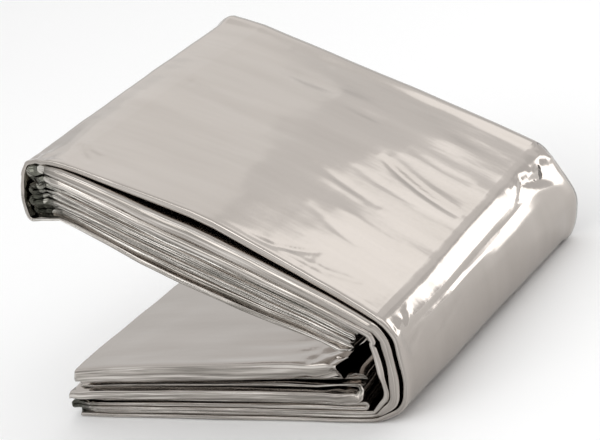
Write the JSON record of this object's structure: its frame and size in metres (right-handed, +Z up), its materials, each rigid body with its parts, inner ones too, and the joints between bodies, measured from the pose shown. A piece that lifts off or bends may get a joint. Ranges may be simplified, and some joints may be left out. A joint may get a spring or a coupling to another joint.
{
  "type": "emergency foil blanket",
  "caption": "Thin metallised film blanket folded back and forth to a small rectangular packet, opened like a book on its last fold, for keeping a person warm.",
  "frame": {"origin": "centre of the bounding box in plan, on the surface that the packet rests on", "axes": "+X along the lower half towards the spine, where the two halves join; +Y across the packet, from the front folded edges to the back ones; +Z up"},
  "size_m": [0.116, 0.0874, 0.076],
  "materials": {
    "silver_foil": "thin plastic film with a bright vapour-deposited metal face, softly wrinkled, its folds pressed flat"
  },
  "bodies": {
    "root": {"foil_blanket": "silver_foil"}
  },
  "joints": []
}
